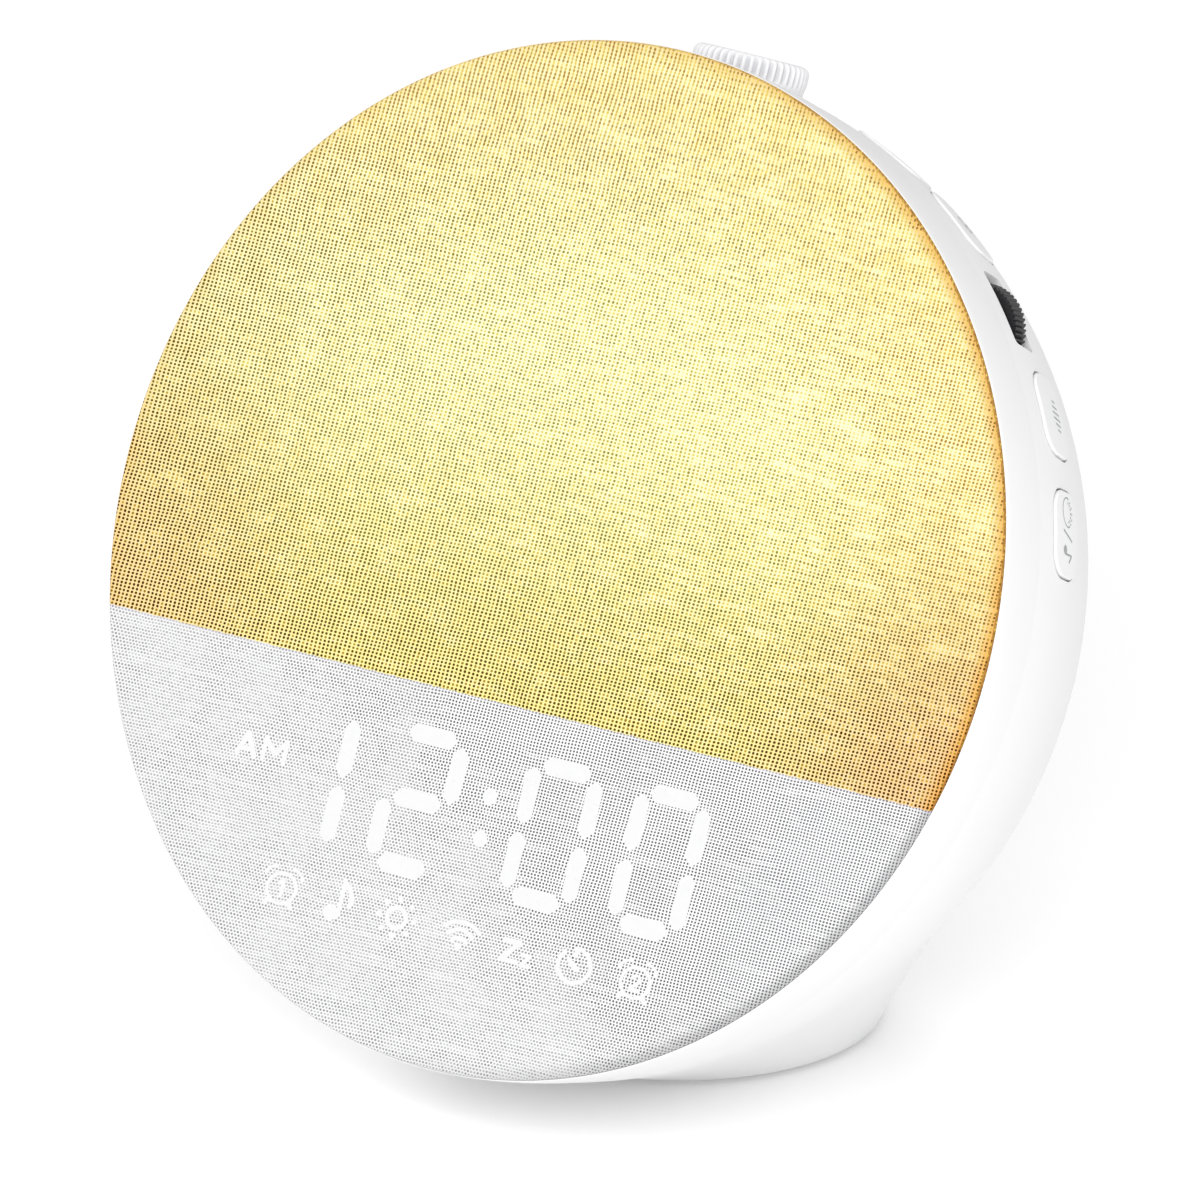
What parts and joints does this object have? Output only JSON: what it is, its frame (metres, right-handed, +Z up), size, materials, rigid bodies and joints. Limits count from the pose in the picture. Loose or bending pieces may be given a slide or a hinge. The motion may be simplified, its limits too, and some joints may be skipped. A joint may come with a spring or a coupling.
{
  "type": "sunrise alarm clock",
  "caption": "Hemispherical wake-up light leaning back on a round foot, with a cloth front over lamp and clock display, side buttons, a thumbwheel, a top knob and a rear speaker.",
  "frame": {"origin": "centre of the round foot, on the table", "axes": "+Z up; the cloth front looks towards -Y and leans back 25 degrees; the buttons are on the +X side"},
  "size_m": [0.16, 0.1161, 0.1568],
  "materials": {
    "cloth": "plain woven polyester",
    "shell_white": "smooth satin",
    "frame_white": "satin",
    "button_white": "smooth satin",
    "knob_white": "smooth satin",
    "wheel_black": "satin",
    "diffuser": "milky translucent sheet",
    "mask_grey": "matt",
    "lens_clear": "milky translucent",
    "lens_dark": "unlit, milky translucent",
    "film_black": "printed film",
    "tray_white": "matt reflector",
    "board_green": "solder mask",
    "board_white": "white solder mask",
    "led_package": "yellow phosphor in a white frame",
    "chip_black": "moulded epoxy",
    "socket_cream": "moulded nylon",
    "ribbon_grey": "flat cable",
    "wire_red": "insulated wire",
    "steel": "zinc plated",
    "steel_black": "black paint",
    "ferrite": "ferrite",
    "copper": "enamelled wire",
    "brass": "turned",
    "aluminium": "turned",
    "cone_paper": "pressed paper",
    "rubber_black": "matt",
    "rubber_grey": "matt silicone",
    "nickel": "nickel plated"
  },
  "bodies": {
    "housing": {"base_cover": "shell_white", "base_screws": "steel", "board_components": "chip_black", "cell_contact": "nickel", "coin_cell": "steel", "control_board": "board_green", "dark_segment_lenses": "lens_dark", "dc_jack": "chip_black", "diffuser_panel": "diffuser", "display_board": "board_green", "display_housing": "tray_white", "display_leds": "led_package", "display_mask": "mask_grey", "encoder_body": "steel", "encoder_nut": "brass", "frame_screws": "steel", "front_fabric": "cloth", "front_frame": "frame_white", "icon_film": "film_black", "icon_lenses": "lens_clear", "jack_board": "board_green", "jack_pin": "nickel", "knob_board": "board_green", "lamp_board": "board_white", "lamp_leds": "led_package", "lamp_tray": "tray_white", "lit_segment_lenses": "lens_clear", "main_board": "board_green", "potentiometer_body": "chip_black", "rear_shell": "shell_white", "ribbon_cables": "ribbon_grey", "ribbon_sockets": "socket_cream", "rubber_foot": "rubber_grey", "small_screws": "steel", "speaker_frame": "steel_black", "speaker_gasket": "rubber_black", "speaker_magnet": "ferrite", "speaker_surround": "rubber_black", "speaker_top_plate": "steel", "speaker_yoke": "steel", "switch_bodies": "chip_black", "wire_leads": "wire_red"},
    "knob_push": {"encoder_switch_disc": "brass"},
    "knob_turn": {"knob": "knob_white", "encoder_shaft": "aluminium"},
    "wheel": {"thumbwheel": "wheel_black", "wheel_shaft": "steel", "wheel_screw": "steel"},
    "battery_cover": {"battery_door": "shell_white"},
    "speaker_motion": {"speaker_cone": "cone_paper", "voice_coil": "copper"},
    "button_1": {"side_button_1": "button_white", "switch_plunger_1": "chip_black"},
    "button_2": {"side_button_2": "button_white", "switch_plunger_2": "chip_black"},
    "button_3": {"side_button_3": "button_white", "switch_plunger_3": "chip_black"},
    "button_4": {"side_button_4": "button_white", "switch_plunger_4": "chip_black"}
  },
  "joints": [
    {"name": "knob_press", "type": "slide", "parent": "housing", "child": "knob_push", "axis": [0, -0.4226, -0.9063], "range_m": [0, 0.0008], "stiffness_N_per_m": 2000, "springref_m": -0.0005},
    {"name": "knob_rotate", "type": "hinge", "parent": "knob_push", "child": "knob_turn", "pos_m": [0, -0.01537, 0.07634], "axis": [0, 0.4226, 0.9063], "continuous": true},
    {"name": "wheel_rotate", "type": "hinge", "parent": "housing", "child": "wheel", "pos_m": [0.05165, 0.0047, 0.12105], "axis": [0, -0.9063, 0.4226], "range_deg": [-140, 140]},
    {"name": "button_1_press", "type": "slide", "parent": "housing", "child": "button_1", "axis": [-0.3584, -0.3945, -0.8461], "range_m": [0, 0.0006], "stiffness_N_per_m": 1500, "springref_m": -0.0006},
    {"name": "button_2_press", "type": "slide", "parent": "housing", "child": "button_2", "axis": [-0.5505, -0.3528, -0.7566], "range_m": [0, 0.0006], "stiffness_N_per_m": 1500, "springref_m": -0.0006},
    {"name": "button_3_press", "type": "slide", "parent": "housing", "child": "button_3", "axis": [-0.8581, -0.217, -0.4654], "range_m": [0, 0.0006], "stiffness_N_per_m": 1500, "springref_m": -0.0006},
    {"name": "button_4_press", "type": "slide", "parent": "housing", "child": "button_4", "axis": [-0.9563, -0.1236, -0.265], "range_m": [0, 0.0006], "stiffness_N_per_m": 1500, "springref_m": -0.0006},
    {"name": "battery_door_turn", "type": "hinge", "parent": "housing", "child": "battery_cover", "pos_m": [0, 0, 0.0019], "axis": [0, 0, 1], "range_deg": [0, 40]},
    {"name": "cone_travel", "type": "slide", "parent": "housing", "child": "speaker_motion", "axis": [0, 1, 0], "range_m": [-0.0004, 0.0004], "stiffness_N_per_m": 1000}
  ]
}
